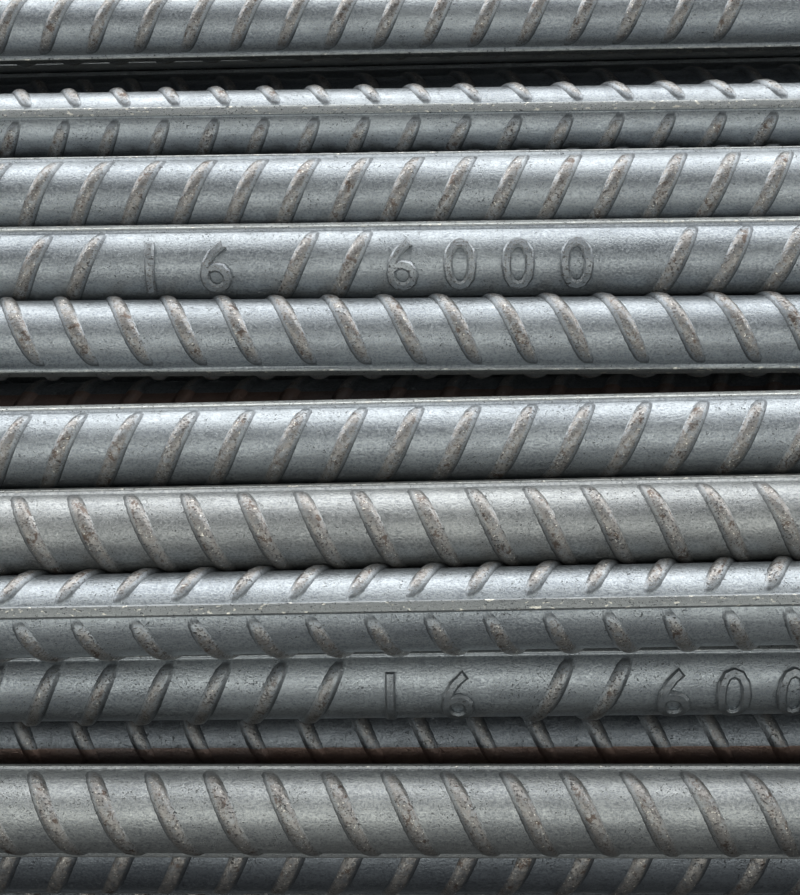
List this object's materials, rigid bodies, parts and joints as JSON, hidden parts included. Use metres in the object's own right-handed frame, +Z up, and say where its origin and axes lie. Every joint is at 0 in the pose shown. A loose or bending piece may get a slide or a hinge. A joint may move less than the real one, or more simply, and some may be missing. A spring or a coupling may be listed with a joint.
{
  "type": "rebar bundle",
  "caption": "Flattened bundle of straight ribbed reinforcing bars lying on the floor, held together by twisted wire-rod ties.",
  "frame": {"origin": "on the floor, under the middle of the bundle's box", "axes": "+X along the bars, +Y across the bundle, +Z up"},
  "size_m": [6.018, 0.264, 0.1454],
  "materials": {
    "bar_steel": "hot-rolled steel under blue-grey mill scale, satin",
    "tie_wire": "hot-rolled wire rod, dark scale, dull"
  },
  "bodies": {
    "root": {"bars_layer_1": "bar_steel", "bars_layer_2": "bar_steel", "bars_layer_3": "bar_steel", "bars_layer_4": "bar_steel", "bars_layer_5": "bar_steel", "bars_layer_6": "bar_steel", "bars_layer_7": "bar_steel", "bars_layer_8": "bar_steel", "bars_layer_9": "bar_steel", "wire_ties": "tie_wire"}
  },
  "joints": []
}
